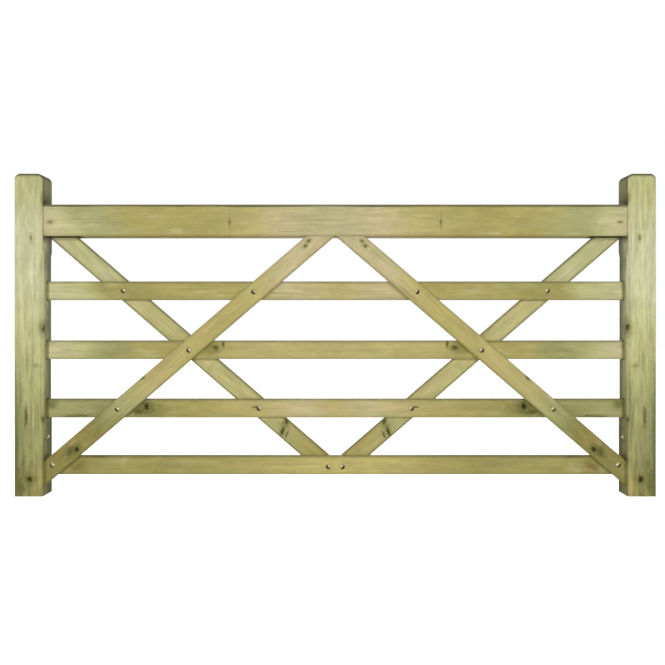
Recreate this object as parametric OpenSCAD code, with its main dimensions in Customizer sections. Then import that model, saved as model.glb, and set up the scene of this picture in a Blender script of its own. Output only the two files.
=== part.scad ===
// Five-bar field gate leaf with diamond bracing, in pressure-treated softwood.
// Two stiles carry a deep top rail and four thin rails on mortise and tenon joints.
// Two braces lie on the front of the thin rails and two on their back, and cup-head
// bolts with washers and nuts hold them where they cross.
// The origin is in the middle of the hanging stile's outer face. +X runs along the gate
// to the closing stile, +Y to its back and +Z up. All sizes are in millimetres.

/* [Gate] */
// Width over both stiles
gate_w = 2400; // [1800:10:3600]

/* [Stiles] */
// Width of a stile, seen from the front
stile_w = 107; // [95:1:150]
// Thickness of a stile, front to back
stile_t = 75; // [68:1:110]
// Length of stile below the bottom rail
foot_h = 76; // [60:1:200]
// Length of stile above the top rail
horn_h = 114; // [50:1:200]
// Radius of the rounded shoulders at a stile's head
shoulder_r = 22; // [8:1:40]
// Radius of the eased arrises on a stile
stile_ease = 4; // [1:0.5:6]
// Leg of the stopped chamfers along a stile's inner arrises
chamfer = 10; // [7:1:14]
// Length of the slope that ends a chamfer
chamfer_run = 28; // [10:1:50]
// Plain arris left between the top rail and the chamfer
chamfer_head = 45; // [20:1:80]
// How far the chamfer carries on below the lower rail
chamfer_tail = 20; // [10:1:60]

/* [Top rail] */
// Height of the top rail
top_rail_h = 120; // [90:1:150]
// Leg of the weathering chamfers along its upper arrises
weathering = 6; // [2:1:12]
// Step from the top rail down to its tenon, above and below
tenon_step = 15; // [5:1:25]

/* [Rails] */
// Height of a thin rail
rail_h = 70; // [60:1:90]
// Thickness of a thin rail
rail_t = 21; // [18:1:28]
// Radius of the eased arrises on the rails and braces
rail_ease = 3; // [1:0.5:5]
// Gap between the top rail and the upper rail
gap_1 = 168; // [120:1:200]
// Gap between the upper rail and the middle rail
gap_2 = 154; // [110:1:200]
// Gap between the middle rail and the lower rail
gap_3 = 151; // [110:1:200]
// Gap between the lower rail and the bottom rail
gap_4 = 145; // [110:1:200]

/* [Braces] */
// Width of a brace
brace_w = 70; // [55:1:85]
// Thickness of a brace
brace_t = 21; // [16:1:23]
// Height at which a front brace's centre line meets its stile
brace_foot = 83; // [70:1:110]
// Distance from the gate's middle to a front brace, under the top rail
brace_gap = 4; // [0:1:30]
// Distance from a stile to a back brace, under the top rail
brace_clear = 3; // [0:1:40]
// Distance from the gate's middle to a back brace's centre line, on the bottom rail
brace_meet = 40; // [20:1:60]

/* [Joinery] */
// Length of every tenon
tenon_l = 70; // [40:1:80]
// Gap above and below a tenon in its mortise
mortise_gap = 2.5; // [0.5:0.5:3]

/* [Bolts] */
// Diameter of a bolt's shank
bolt_d = 8; // [6:1:10]
// Gap all round a shank in its hole
hole_gap = 0.5; // [0.2:0.1:1]
// Diameter of a bolt's domed head
head_d = 20; // [16:1:26]
// Height of a bolt's domed head
head_h = 4.5; // [3:0.5:7]
// Diameter of a washer
washer_d = 21; // [18:1:28]
// Thickness of a washer
washer_t = 1.6; // [1:0.2:3]
// Width of a nut across its flats
nut_w = 13; // [13:1:17]
// Height of a nut
nut_h = 6.5; // [5:0.5:9]
// Gap all round a shank in its nut, where the threads mesh
thread_gap = 0.05; // [0.05:0.05:0.2]
// Length of shank that shows past a nut
bolt_tip = 6; // [1:1:10]

/* [Bolt places] */
// How far outwards from the crossing the upper front bolts sit
upper_front_out = 12; // [0:1:20]
// How far below the upper rail's middle those bolts sit
upper_front_drop = 5; // [0:1:15]
// How far outwards from the crossing the lower front bolts sit
lower_front_out = 6; // [0:1:20]
// How far above the bottom rail's middle its outer bolts sit
bottom_front_lift = 6; // [0:1:15]
// How far inwards from the crossing the bottom back bolts sit
bottom_back_in = 14; // [0:1:15]
// How far below the bottom rail's middle those bolts sit
bottom_back_drop = 6; // [0:1:15]
// Height of the bolt in the inner face of each stile
stile_bolt_z = 212; // [190:1:250]
// Length of that bolt inside the stile
stile_bolt_l = 60; // [30:1:85]

/* [Hidden] */
ARC_STEPS = 6;          // flats in each eased arris
ROUND = 48;             // sides that stand for a circle
CUT = 1;                // how far a cutter reaches past the face that it cuts

// Heights above the foot of the rails' undersides and middles
bottom_z = foot_h;
lower_z = bottom_z + rail_h + gap_4;
middle_z = lower_z + rail_h + gap_3;
upper_z = middle_z + rail_h + gap_2;
top_z = upper_z + rail_h + gap_1;
bottom_mid = bottom_z + rail_h / 2;
lower_mid = lower_z + rail_h / 2;
middle_mid = middle_z + rail_h / 2;
upper_mid = upper_z + rail_h / 2;
gate_h = top_z + top_rail_h + horn_h;

// Half the clear width between the stiles
reach = gate_w / 2 - stile_w;
// The top rail is as thick as a rail with a brace on each side of it
top_rail_t = rail_t + 2 * brace_t;
rail_face = rail_t / 2;
brace_face = rail_face + brace_t;

// A front brace rises from its stile until its lower edge is brace_gap from the middle
front_run = reach - brace_gap;
front_rise = top_z - brace_foot;
front_angle = atan2(front_rise, front_run) + asin(brace_w / 2 / norm([front_run, front_rise]));
// A back brace falls from the corner under the top rail to the middle of the bottom rail
back_run = reach - brace_clear - brace_meet;
back_rise = top_z - bottom_mid;
back_angle = atan2(back_rise, back_run) + asin(brace_w / 2 / norm([back_run, back_rise]));

// Distance from the gate's middle to a brace's centre line, at a height above the foot
function front_x(z) = reach - (z - brace_foot) / tan(front_angle);
function back_x(z) = brace_meet + (z - bottom_mid) / tan(back_angle);

// The through bolts of one side, each as its distance from the gate's middle, its height
// above the foot, the face under its head and the face under its washer
UPPER_FRONT = [
    front_x(upper_mid) + upper_front_out, upper_mid - upper_front_drop, -brace_face, rail_face
];
UPPER_BACK = [back_x(upper_mid), upper_mid, -rail_face, brace_face];
MIDDLE = [
    (front_x(middle_mid) + back_x(middle_mid)) / 2, middle_mid, -brace_face, brace_face
];
LOWER_FRONT = [front_x(lower_mid) + lower_front_out, lower_mid, -brace_face, rail_face];
LOWER_BACK = [back_x(lower_mid), lower_mid, -rail_face, brace_face];
BOTTOM_FRONT = [
    front_x(bottom_mid), bottom_mid + bottom_front_lift, -brace_face, rail_face
];
BOTTOM_BACK = [
    back_x(bottom_mid) - bottom_back_in, bottom_mid - bottom_back_drop, -rail_face, brace_face
];
BOLTS = [UPPER_FRONT, UPPER_BACK, MIDDLE, LOWER_FRONT, LOWER_BACK, BOTTOM_FRONT, BOTTOM_BACK];

TIMBER = "#b9b27c";
ZINC = "#b4b4ac";

// Corners of a w by h rectangle about the origin, its corners rounded to radius r
function eased(w, h, r) = [
    for (quarter = [0:3], step = [0:ARC_STEPS])
        let (turn = 90 * quarter + 90 * step / ARC_STEPS,
             right = (quarter == 0 || quarter == 3) ? 1 : -1,
             up = quarter < 2 ? 1 : -1)
        [right * (w / 2 - r) + r * cos(turn), up * (h / 2 - r) + r * sin(turn)]
];

// Takes what was drawn about the foot of the gate's middle, on its right half, to its
// place in the part's frame, on the left or the right
module place(side) {
    translate([gate_w / 2, 0, -gate_h / 2])
        mirror([side == "left" ? 1 : 0, 0, 0])
            children();
}

// A bar of eased section along +X, centred on y = 0 and on z = 0
module bar(length, height, thickness) {
    rotate([90, 0, 90])
        linear_extrude(length)
            polygon(eased(thickness, height, rail_ease));
}

// A hole for a through bolt, from the front of the gate to its back
module bolt_hole(bolt) {
    translate([bolt[0], -stile_t / 2 - CUT, bolt[1]])
        rotate([-90, 0, 0])
            cylinder(d = bolt_d + 2 * hole_gap, h = stile_t + 2 * CUT, $fn = ROUND);
}

// Half the eased section of a stile, r wide and turned so that it spins about a shoulder
module half_section(r) {
    intersection() {
        polygon(eased(2 * r, stile_t, stile_ease));
        translate([0, -stile_t / 2])
            square([r, stile_t]);
    }
}

// The blank of a stile: a bar of eased section with two rounded shoulders at its head
module stile_blank() {
    shoulder_z = gate_h - shoulder_r;
    translate([stile_w / 2, 0, 0])
        linear_extrude(shoulder_z)
            polygon(eased(stile_w, stile_t, stile_ease));
    intersection() {
        translate([shoulder_r, 0, gate_h - stile_w])
            rotate([90, 0, 90])
                linear_extrude(stile_w - 2 * shoulder_r)
                    polygon(eased(stile_t, 2 * stile_w, stile_ease));
        translate([0, -stile_t, shoulder_z])
            cube([stile_w, 2 * stile_t, stile_w]);
    }
    for (x = [shoulder_r, stile_w - shoulder_r])
        translate([x, 0, shoulder_z])
            rotate([90, 0, 0])
                rotate_extrude($fn = ROUND)
                    half_section(shoulder_r);
}

// What a stopped chamfer takes off an upright arris at the origin that faces -X and -Y
module chamfer_cut() {
    depth = chamfer / sqrt(2);
    low = lower_z - chamfer_tail;
    high = top_z - chamfer_head;
    slope = chamfer_run / depth;
    rotate([0, 0, 45])
        translate([0, chamfer, 0])
            rotate([90, 0, 0])
                linear_extrude(2 * chamfer)
                    polygon([
                        [-CUT, low - CUT * slope], [depth, low + chamfer_run],
                        [depth, high - chamfer_run], [-CUT, high + CUT * slope]
                    ]);
}

// A pocket in a stile's inner face for a tenon whose underside is at height z
module mortise(z, height) {
    translate([-CUT, -rail_t / 2, z - mortise_gap])
        cube([tenon_l + CUT, rail_t, height + 2 * mortise_gap]);
}

// The right stile, with its inner face on x = 0
module stile_body() {
    difference() {
        stile_blank();
        for (face = [0, 1])
            mirror([0, face, 0])
                translate([0, -stile_t / 2, 0])
                    chamfer_cut();
        for (z = [bottom_z, lower_z, middle_z, upper_z])
            mortise(z, rail_h);
        mortise(top_z + tenon_step, top_rail_h - 2 * tenon_step);
        translate([-CUT, 0, stile_bolt_z])
            rotate([0, 90, 0])
                cylinder(d = bolt_d + 2 * hole_gap, h = stile_bolt_l + CUT, $fn = ROUND);
    }
}

module stile(side) {
    color(TIMBER)
        place(side)
            translate([reach, 0, 0])
                stile_body();
}

// Section of the top rail, its upper arrises cut back to shed the rain
module top_rail_section() {
    half_t = top_rail_t / 2;
    half_h = top_rail_h / 2;
    intersection() {
        polygon(eased(top_rail_t, top_rail_h, rail_ease));
        polygon([
            [-half_t, -half_h], [half_t, -half_h],
            [half_t, half_h - weathering], [half_t - weathering, half_h],
            [weathering - half_t, half_h], [-half_t, half_h - weathering]
        ]);
    }
}

module top_rail() {
    tenon_h = top_rail_h - 2 * tenon_step;
    color(TIMBER)
        place("right")
            translate([0, 0, top_z + top_rail_h / 2]) {
                translate([-reach, 0, 0])
                    rotate([90, 0, 90])
                        linear_extrude(2 * reach)
                            top_rail_section();
                translate([-reach - tenon_l, -rail_t / 2, -tenon_h / 2])
                    cube([2 * (reach + tenon_l), rail_t, tenon_h]);
            }
}

// A thin rail whose whole section runs into both stiles, drilled for its bolts
module rail(z, bolts) {
    color(TIMBER)
        place("right")
            difference() {
                translate([-reach - tenon_l, 0, z + rail_h / 2])
                    bar(2 * (reach + tenon_l), rail_h, rail_t);
                for (bolt = bolts, half = [0, 1])
                    mirror([half, 0, 0])
                        bolt_hole(bolt);
            }
}

// A front brace ends on the stile's inner face and under the top rail
module front_brace(side) {
    length = norm([front_run, front_rise]) + 2 * brace_w;
    color(TIMBER)
        place(side)
            difference() {
                intersection() {
                    translate([reach, -(rail_face + brace_face) / 2, brace_foot])
                        rotate([0, front_angle, 0])
                            translate([brace_w - length, 0, 0])
                                bar(length, brace_w, brace_t);
                    translate([0, -brace_face, 0])
                        cube([reach, brace_t, top_z]);
                }
                for (bolt = [UPPER_FRONT, MIDDLE, LOWER_FRONT, BOTTOM_FRONT])
                    bolt_hole(bolt);
            }
}

// A back brace ends under the top rail, on the mitre with its fellow in the gate's
// middle, and level with the bottom rail's underside
module back_brace(side) {
    length = norm([back_run, back_rise]) + 3 * brace_w;
    color(TIMBER)
        place(side)
            difference() {
                intersection() {
                    translate([brace_meet, (rail_face + brace_face) / 2, bottom_mid])
                        rotate([0, -back_angle, 0])
                            translate([-2 * brace_w, 0, 0])
                                bar(length, brace_w, brace_t);
                    translate([0, rail_face, bottom_z])
                        cube([reach, brace_t, top_z - bottom_z]);
                }
                for (bolt = [UPPER_BACK, MIDDLE, LOWER_BACK, BOTTOM_BACK])
                    bolt_hole(bolt);
            }
}

// A cup-head bolt along +Z, its head's flat underside on z = 0
module cup_bolt(length) {
    dome_r = (pow(head_d / 2, 2) + pow(head_h, 2)) / (2 * head_h);
    intersection() {
        translate([0, 0, dome_r - head_h])
            sphere(r = dome_r, $fn = ROUND);
        translate([0, 0, -head_h])
            cylinder(d = head_d, h = head_h, $fn = ROUND);
    }
    cylinder(d = bolt_d, h = length, $fn = ROUND);
}

module through_bolt(bolt, side) {
    color(ZINC)
        place(side)
            translate([bolt[0], bolt[2], bolt[1]])
                rotate([-90, 0, 0])
                    cup_bolt(bolt[3] - bolt[2] + washer_t + nut_h + bolt_tip);
}

module stile_bolt(side) {
    color(ZINC)
        place(side)
            translate([reach, 0, stile_bolt_z])
                rotate([0, 90, 0])
                    cup_bolt(stile_bolt_l);
}

// What is threaded on every through bolt, at a distance behind the timber
module on_each_bolt(distance) {
    color(ZINC)
        for (bolt = BOLTS, side = ["left", "right"])
            place(side)
                translate([bolt[0], bolt[3] + distance, bolt[1]])
                    rotate([-90, 0, 0])
                        children();
}

module washers() {
    on_each_bolt(0)
        difference() {
            cylinder(d = washer_d, h = washer_t, $fn = ROUND);
            translate([0, 0, -CUT])
                cylinder(d = bolt_d + 2 * hole_gap, h = washer_t + 2 * CUT, $fn = ROUND);
        }
}

module nuts() {
    on_each_bolt(washer_t)
        difference() {
            cylinder(d = nut_w / cos(30), h = nut_h, $fn = 6);
            translate([0, 0, -CUT])
                cylinder(d = bolt_d + 2 * thread_gap, h = nut_h + 2 * CUT, $fn = ROUND);
        }
}

stile("left");  // hanging_stile
stile("right");  // closing_stile
top_rail();
rail(upper_z, [UPPER_FRONT, UPPER_BACK]);  // upper_rail
rail(middle_z, [MIDDLE]);  // middle_rail
rail(lower_z, [LOWER_FRONT, LOWER_BACK]);  // lower_rail
rail(bottom_z, [BOTTOM_FRONT, BOTTOM_BACK]);  // bottom_rail
front_brace("left");  // front_brace_left
front_brace("right");  // front_brace_right
back_brace("left");  // back_brace_left
back_brace("right");  // back_brace_right
through_bolt(UPPER_FRONT, "left");  // upper_front_bolt_left
through_bolt(UPPER_FRONT, "right");  // upper_front_bolt_right
through_bolt(UPPER_BACK, "left");  // upper_back_bolt_left
through_bolt(UPPER_BACK, "right");  // upper_back_bolt_right
through_bolt(MIDDLE, "left");  // middle_bolt_left
through_bolt(MIDDLE, "right");  // middle_bolt_right
through_bolt(LOWER_FRONT, "left");  // lower_front_bolt_left
through_bolt(LOWER_FRONT, "right");  // lower_front_bolt_right
through_bolt(LOWER_BACK, "left");  // lower_back_bolt_left
through_bolt(LOWER_BACK, "right");  // lower_back_bolt_right
through_bolt(BOTTOM_FRONT, "left");  // bottom_front_bolt_left
through_bolt(BOTTOM_FRONT, "right");  // bottom_front_bolt_right
through_bolt(BOTTOM_BACK, "left");  // bottom_back_bolt_left
through_bolt(BOTTOM_BACK, "right");  // bottom_back_bolt_right
stile_bolt("left");  // stile_bolt_left
stile_bolt("right");  // stile_bolt_right
washers();
nuts();
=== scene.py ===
"""A five-bar softwood field gate, dressed around its fixed CAD frame.

The timbers get a procedural finish that runs along each one's own grain, and the zinc
bolts, washers and nuts are made by Geometry Nodes where the frame has them. All lengths
are in metres and all places are in the part's own frame.
"""

import logging
import math
from collections.abc import Iterable
from dataclasses import dataclass
from enum import Enum

import bmesh
import bpy
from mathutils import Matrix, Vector


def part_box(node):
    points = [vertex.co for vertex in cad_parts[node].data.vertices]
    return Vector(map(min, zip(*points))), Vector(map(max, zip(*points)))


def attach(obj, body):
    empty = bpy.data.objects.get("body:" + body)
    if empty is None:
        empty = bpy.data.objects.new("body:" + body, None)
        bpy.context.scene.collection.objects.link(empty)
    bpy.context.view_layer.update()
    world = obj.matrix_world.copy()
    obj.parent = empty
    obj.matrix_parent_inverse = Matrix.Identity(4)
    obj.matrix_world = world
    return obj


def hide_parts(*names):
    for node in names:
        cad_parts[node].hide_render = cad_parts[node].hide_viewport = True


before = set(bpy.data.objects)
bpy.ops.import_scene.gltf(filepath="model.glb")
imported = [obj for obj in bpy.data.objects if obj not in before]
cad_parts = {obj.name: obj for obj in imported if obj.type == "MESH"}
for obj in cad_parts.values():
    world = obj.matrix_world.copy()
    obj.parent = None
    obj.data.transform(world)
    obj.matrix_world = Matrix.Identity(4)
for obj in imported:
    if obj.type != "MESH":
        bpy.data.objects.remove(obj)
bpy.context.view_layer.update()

log = logging.getLogger("field_gate")

Triple = tuple[float, float, float]
MM = 0.001
WHITE = (1.0, 1.0, 1.0, 1.0)
WELD = 0.001 * MM
SEED_STEP = 3.17
QUARTER_TURN = math.radians(90)


# ------------------------------------------------------------------ node expressions


class Signal:
    """The value that one output socket carries, for use in Python expressions."""

    def __init__(self, graph: "NodeGraph", socket: bpy.types.NodeSocket) -> None:
        """Wraps an output socket of a tree."""
        self.graph = graph
        self.socket = socket

    def __add__(self, other: "Signal | float") -> "Signal":
        """Returns the sum."""
        return self.graph.math("ADD", self, other)

    def __sub__(self, other: "Signal | float") -> "Signal":
        """Returns the difference."""
        return self.graph.math("SUBTRACT", self, other)

    def __rsub__(self, other: float) -> "Signal":
        """Returns the difference, with this value taken away."""
        return self.graph.math("SUBTRACT", other, self)

    def __mul__(self, other: "Signal | float") -> "Signal":
        """Returns the product."""
        return self.graph.math("MULTIPLY", self, other)

    def __truediv__(self, other: "Signal | float") -> "Signal":
        """Returns the quotient."""
        return self.graph.math("DIVIDE", self, other)

    def __rtruediv__(self, other: float) -> "Signal":
        """Returns the quotient, with this value as the divisor."""
        return self.graph.math("DIVIDE", other, self)

    def __abs__(self) -> "Signal":
        """Returns the absolute value."""
        return self.graph.math("ABSOLUTE", self)

    __radd__ = __add__
    __rmul__ = __mul__


class NodeGraph:
    """Builds a node tree from Python expressions."""

    def __init__(self, tree: bpy.types.NodeTree) -> None:
        """Starts on a tree, and clears it."""
        self.tree = tree
        self.tree.nodes.clear()

    def node(
        self,
        kind: str,
        settings: dict[str, object] | None = None,
        values: dict[str | int, object] | None = None,
        output: str | int = 0,
    ) -> Signal | None:
        """Adds a node.

        Args:
            kind: The node's type.
            settings: Its properties, which are set first. "stops" fills a colour ramp.
            values: Numbers, colours or signals for its inputs. A list of signals goes to
                an input that joins them.
            output: The output to hand back.

        Returns:
            The chosen output, or nothing if the node has none.
        """
        made = self.tree.nodes.new(kind)
        for key, value in (settings or {}).items():
            if key == "stops":
                self._fill_ramp(made.color_ramp, value)
            else:
                setattr(made, key, value)
        for key, value in (values or {}).items():
            if isinstance(value, (Signal, list)):
                for signal in value if isinstance(value, list) else [value]:
                    self.tree.links.new(signal.socket, made.inputs[key])
            else:
                made.inputs[key].default_value = value
        return Signal(self, made.outputs[output]) if len(made.outputs) else None

    @staticmethod
    def _fill_ramp(ramp: bpy.types.ColorRamp, stops: Iterable[tuple[float, Triple]]) -> None:
        """Sets a colour ramp's stops.

        Args:
            ramp: The ramp, with two stops.
            stops: Place and colour of each stop, from low to high.
        """
        ordered = list(stops)
        while len(ramp.elements) < len(ordered):
            ramp.elements.new(1.0)
        for element, (place, colour) in zip(ramp.elements, ordered):
            element.position = place
            element.color = (*colour, 1.0)

    def math(self, operation: str, *terms: Signal | float) -> Signal:
        """Adds a Math node and returns its result."""
        return self.node("ShaderNodeMath", {"operation": operation}, dict(enumerate(terms)))

    def vector(self, operation: str, *terms: Signal | Triple, output: str | int = 0) -> Signal:
        """Adds a Vector Math node and returns its result."""
        values = dict(enumerate(terms))
        return self.node("ShaderNodeVectorMath", {"operation": operation}, values, output)

    def join(self, x: Signal | float, y: Signal | float, z: Signal | float) -> Signal:
        """Joins three numbers into a vector."""
        return self.node("ShaderNodeCombineXYZ", None, {0: x, 1: y, 2: z})

    def split(self, vector: Signal) -> tuple[Signal, Signal, Signal]:
        """Parts a vector into its three numbers."""
        return self.outputs(self.node("ShaderNodeSeparateXYZ", None, {0: vector}))

    def outputs(self, signal: Signal) -> tuple[Signal, ...]:
        """Returns all the outputs of the node that a signal comes from."""
        return tuple(Signal(self, socket) for socket in signal.socket.node.outputs)

    def length(self, *terms: Signal) -> Signal:
        """Finds the length of a vector.

        Args:
            terms: Its parts.

        Returns:
            The square root of the sum of their squares.
        """
        total = terms[0] * terms[0]
        for term in terms[1:]:
            total = total + term * term
        return self.math("SQRT", total)

    def ease(self, value: Signal, low: float, high: float) -> Signal:
        """Steps smoothly from 0, at low, to 1, at high, which may be the smaller of the two."""
        values = {"Value": value, "From Min": low, "From Max": high}
        return self.node("ShaderNodeMapRange", {"interpolation_type": "SMOOTHSTEP"}, values)


class Shader(NodeGraph):
    """Builds the node tree of a material or of the world."""

    def __init__(self, owner: bpy.types.Material | bpy.types.World) -> None:
        """Starts on an owner's empty tree.

        Args:
            owner: The material or world.
        """
        owner.use_nodes = True
        super().__init__(owner.node_tree)
        self.owner = owner

    def noise(self, at: Signal, scale: float = 1.0, detail: float = 2.0, rough: float = 0.5) -> Signal:
        """Returns fractal noise, about 0.5 on average.

        Args:
            at: The point at which to read it.
            scale: Features to the metre.
            detail: Octaves after the first.
            rough: Share that each octave keeps of the last one's strength.

        Returns:
            The noise.
        """
        values = {"Vector": at, "Scale": scale, "Detail": detail, "Roughness": rough}
        return self.node("ShaderNodeTexNoise", {"noise_dimensions": "3D"}, values)

    def mix(
        self, share: Signal | float, first: Signal | Triple, second: Signal | Triple, mode: str = "MIX"
    ) -> Signal:
        """Mixes two colours.

        Args:
            share: How much of the second colour, from 0 to 1.
            first: The colour at 0.
            second: The colour at 1.
            mode: The blend mode.

        Returns:
            The mixed colour.
        """
        first, second = (end if isinstance(end, Signal) else (*end, 1.0) for end in (first, second))
        settings = {"data_type": "RGBA", "blend_type": mode}
        return self.node("ShaderNodeMix", settings, {0: share, 6: first, 7: second}, 2)

    def seen(self) -> Signal:
        """Tells what is looked at from what lights the gate.

        Returns:
            1 for what the camera, a polished face or glass sees, and 0 for the rest.
        """
        paths = self.node("ShaderNodeLightPath").socket.node.outputs
        rays = [Signal(self, paths[f"Is {kind} Ray"]) for kind in ("Camera", "Glossy", "Transmission")]
        return self.math("MAXIMUM", self.math("MAXIMUM", rays[0], rays[1]), rays[2])

    def finish(self, surface: Signal) -> bpy.types.Material | bpy.types.World:
        """Links the last shader to the output.

        Args:
            surface: The last shader.

        Returns:
            The material or world.
        """
        kind = "World" if isinstance(self.owner, bpy.types.World) else "Material"
        self.node("ShaderNodeOutput" + kind, None, {"Surface": surface})
        return self.owner


class Shape(NodeGraph):
    """Builds a Geometry Nodes tree and turns its result into a plain mesh."""

    def __init__(self, name: str) -> None:
        """Starts an empty tree that takes and gives geometry.

        Args:
            name: The tree's name.
        """
        super().__init__(bpy.data.node_groups.new(name, "GeometryNodeTree"))
        for way in ("INPUT", "OUTPUT"):
            self.tree.interface.new_socket("Geometry", in_out=way, socket_type="NodeSocketGeometry")
        self._given = self.tree.nodes.new("NodeGroupInput")
        self._identifiers: dict[str, str] = {}
        self._defaults: dict[str, object] = {}

    @property
    def given(self) -> Signal:
        """The geometry that comes in."""
        return Signal(self, self._given.outputs["Geometry"])

    def size(self, name: str, value: object, kind: str = "Float") -> Signal:
        """Adds a named input, or finds it again.

        Args:
            name: The input's name.
            value: What the modifier sets it to.
            kind: The socket's type.

        Returns:
            The input.
        """
        if name not in self._identifiers:
            socket = self.tree.interface.new_socket(name, in_out="INPUT", socket_type="NodeSocket" + kind)
            self._identifiers[name] = socket.identifier
            self._defaults[name] = value
        return Signal(self, self._given.outputs[name])

    def sizes(self, owner: object, *names: str) -> list[Signal]:
        """Adds an input for each of an owner's named sizes, in plain words."""
        return [self.size(name.replace("_", " ").capitalize(), getattr(owner, name)) for name in names]

    def place(self) -> tuple[Signal, Signal, Signal]:
        """Returns the three parts of each point's place."""
        return self.split(self.node("GeometryNodeInputPosition"))

    def field(self, name: str, kind: str = "FLOAT") -> Signal:
        """Reads a named attribute of the geometry."""
        output = "Attribute"
        return self.node("GeometryNodeInputNamedAttribute", {"data_type": kind}, {"Name": name}, output)

    def keep(
        self, geometry: Signal, name: str, value: Signal | float, kind: str = "FLOAT", on: str = "POINT"
    ) -> Signal:
        """Stores a value under a name on the geometry's points or faces, and returns the geometry."""
        values = {"Geometry": geometry, "Name": name, "Value": value}
        return self.node("GeometryNodeStoreNamedAttribute", {"data_type": kind, "domain": on}, values)

    def rod(
        self, sides: int, radius: Signal | float = 1.0, height: Signal | float = 1.0, rows: int = 1,
        rings: int = 1,
    ) -> Signal:
        """Makes a closed cylinder about Z, in rows along its height and rings over its ends."""
        steps = {"Vertices": sides, "Side Segments": rows, "Fill Segments": rings}
        return self.node("GeometryNodeMeshCylinder", None, {**steps, "Radius": radius, "Depth": height})

    def move(self, geometry: Signal, **how: Signal) -> Signal:
        """Sets the points' Position or Offset, and returns the geometry."""
        return self.node("GeometryNodeSetPosition", None, {"Geometry": geometry, **how})

    def aim(self, vector: Signal, axis: str = "Z", pivot: str = "AUTO", **start: Signal) -> Signal:
        """Returns the turn that points an axis along a vector about a pivot, from a first Rotation."""
        settings = {"axis": axis, "pivot_axis": pivot}
        return self.node("FunctionNodeAlignRotationToVector", settings, {"Vector": vector, **start})

    def copies(self, points: Signal, piece: Signal, turn: Signal, **how: Signal) -> Signal:
        """Stands a turned copy of a piece at each point, to a Scale if one is given."""
        values = {"Points": points, "Instance": piece, "Rotation": turn, **how}
        return self.node("GeometryNodeInstanceOnPoints", None, values)

    def cut(self, operation: str, first: Signal | None, others: list[Signal]) -> Signal:
        """Joins, subtracts or intersects closed meshes.

        Args:
            operation: UNION, DIFFERENCE or INTERSECT.
            first: The mesh to subtract from, or nothing.
            others: The other meshes.

        Returns:
            The new mesh.
        """
        values = {"Mesh 2": others} if first is None else {"Mesh 1": first, "Mesh 2": others}
        return self.node("GeometryNodeMeshBoolean", {"operation": operation, "solver": "MANIFOLD"}, values)

    def end(self, result: Signal) -> None:
        """Ends the tree: makes copies real and gives the result its finish.

        Args:
            result: The geometry.
        """
        finish = self.size("Finish", None, "Material")
        real = self.node("GeometryNodeRealizeInstances", None, {"Geometry": result})
        dressed = self.node("GeometryNodeSetMaterial", None, {"Geometry": real, "Material": finish})
        self.node("NodeGroupOutput", None, {"Geometry": dressed})

    def run(self, name: str, base: bpy.types.Mesh, **changes: object) -> bpy.types.Object:
        """Runs the tree on a mesh, and keeps what it makes.

        Args:
            name: Name of the new piece.
            base: The mesh that goes in.
            changes: Values of named inputs, where they differ from the tree's own.

        Returns:
            The piece, a plain mesh with no modifier.
        """
        piece = bpy.data.objects.new(name, base)
        bpy.context.scene.collection.objects.link(piece)
        modifier = piece.modifiers.new(self.tree.name, "NODES")
        modifier.node_group = self.tree
        for key, value in {**self._defaults, **changes}.items():
            modifier[self._identifiers[key]] = value
        bpy.context.view_layer.update()
        graph = bpy.context.evaluated_depsgraph_get()
        made = piece.evaluated_get(graph)
        plain = bpy.data.meshes.new_from_object(made, preserve_all_data_layers=True, depsgraph=graph)
        piece.modifiers.remove(modifier)
        piece.data = plain
        plain.name = name
        bpy.data.meshes.remove(base)
        return piece


# ------------------------------------------------------------------------ finishes


def tint(red: int, green: int, blue: int) -> Triple:
    """Turns a colour as it looks, from 0 to 255, into the linear values of a shader."""
    return tuple(((part / 255 + 0.055) / 1.055) ** 2.4 for part in (red, green, blue))


class Tone(Enum):
    """The colours that treated softwood takes, by how it was cut and how it dried; the darker ones also lay
    painted shade.
    """

    CHALK = tint(204, 202, 161)
    WILLOW = tint(198, 196, 147)
    BUFF = tint(198, 190, 146)
    ROSE = tint(199, 185, 141)
    BISCUIT = tint(188, 179, 136)
    REED = tint(190, 189, 134)
    CORN = tint(192, 184, 127)
    HUSK = tint(195, 181, 114)
    STRAW = tint(188, 175, 116)
    HONEY = tint(184, 171, 107)
    OLIVE = tint(174, 163, 99)
    SAGE = tint(172, 170, 116)
    KHAKI = tint(163, 154, 93)
    MOSS = tint(154, 152, 100)
    LICHEN = tint(146, 142, 88)
    BRONZE = tint(147, 137, 76)
    TAN = tint(188, 163, 118)
    UMBER = tint(130, 114, 60)
    JADE = tint(128, 135, 88)
    FERN = tint(122, 119, 66)
    ALGAE = tint(98, 100, 54)
    # Laid as painted shade on tops, upper edges, inner sides and heads, and as weathered stains.
    WEATHER_AND_SHADE = tint(92, 90, 62)
    LOAM = tint(80, 76, 26)
    BARK = tint(46, 44, 6)


@dataclass(frozen=True)
class Knot:
    """A knot, at its distance from the gate's middle and height above the foot.

    It goes right through the timber, or where it has a depth it starts at the front face.
    Its length lies along the grain, or is turned from it by some degrees.
    """

    out: float
    up: float
    length: float
    width: float
    strength: float
    depth: float = 0.0
    turn: float = 0.0


@dataclass(frozen=True)
class Stain:
    """A soft-edged stain along the grain, placed as a knot is."""

    out: float
    up: float
    length: float
    width: float
    tone: Tone
    strength: float
    turn: float = 0.0
    depth: float = 0.0


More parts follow.
